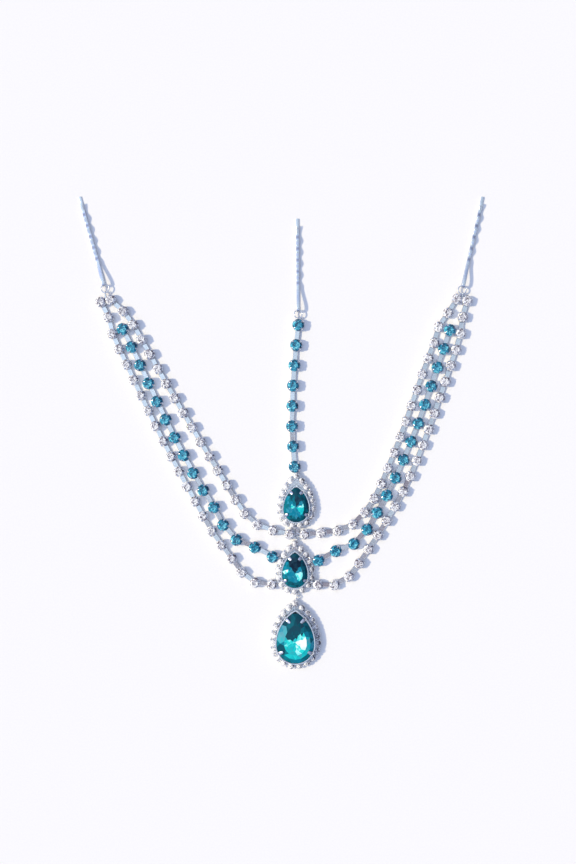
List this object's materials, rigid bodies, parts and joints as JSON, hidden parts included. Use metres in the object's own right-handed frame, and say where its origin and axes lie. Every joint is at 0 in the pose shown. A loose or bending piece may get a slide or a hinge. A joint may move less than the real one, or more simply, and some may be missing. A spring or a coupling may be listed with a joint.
{
  "type": "hair chain",
  "caption": "Hair chain that clips in with bobby pins: strands of clear and teal stones drape over the hair and meet at pear-shaped pendants with halos of small stones.",
  "frame": {"origin": "middle of the bounding box, on the surface that the piece lies on", "axes": "+Y from the drop pendant towards the pins, +Z out of the surface towards the stones' tables, +X across to the right-hand pin"},
  "size_m": [0.203, 0.2358, 0.0065],
  "materials": {
    "pin_steel": "bright nickel-plated spring steel",
    "ring_wire": "bright silver-plated wire",
    "soldered_cups": "silver-plated cups with clear and teal cut glass",
    "clear_stone_chain": "clear cut glass in silver-plated cups",
    "teal_stone_chain": "teal cut glass in silver-plated cups",
    "halo_setting": "silver-plated setting with small clear stones",
    "teal_pear_stone": "deep teal cut glass, foil behind it"
  },
  "bodies": {
    "root": {"pin_left": "pin_steel", "pin_centre": "pin_steel", "pin_right": "pin_steel", "ring_left": "ring_wire", "ring_centre": "ring_wire", "ring_right": "ring_wire", "end_pair_left": "soldered_cups", "end_pair_right": "soldered_cups", "joined_cups_left": "soldered_cups", "joined_cups_right": "soldered_cups", "outer_chain_left": "clear_stone_chain", "teal_chain_left": "teal_stone_chain", "inner_chain_left": "clear_stone_chain", "centre_chain": "teal_stone_chain", "inner_chain_right": "clear_stone_chain", "teal_chain_right": "teal_stone_chain", "outer_chain_right": "clear_stone_chain", "upper_setting": "halo_setting", "upper_stone": "teal_pear_stone", "upper_ring": "ring_wire", "middle_setting": "halo_setting", "middle_stone": "teal_pear_stone", "lower_ring": "ring_wire", "drop_setting": "halo_setting", "drop_stone": "teal_pear_stone"}
  },
  "joints": []
}
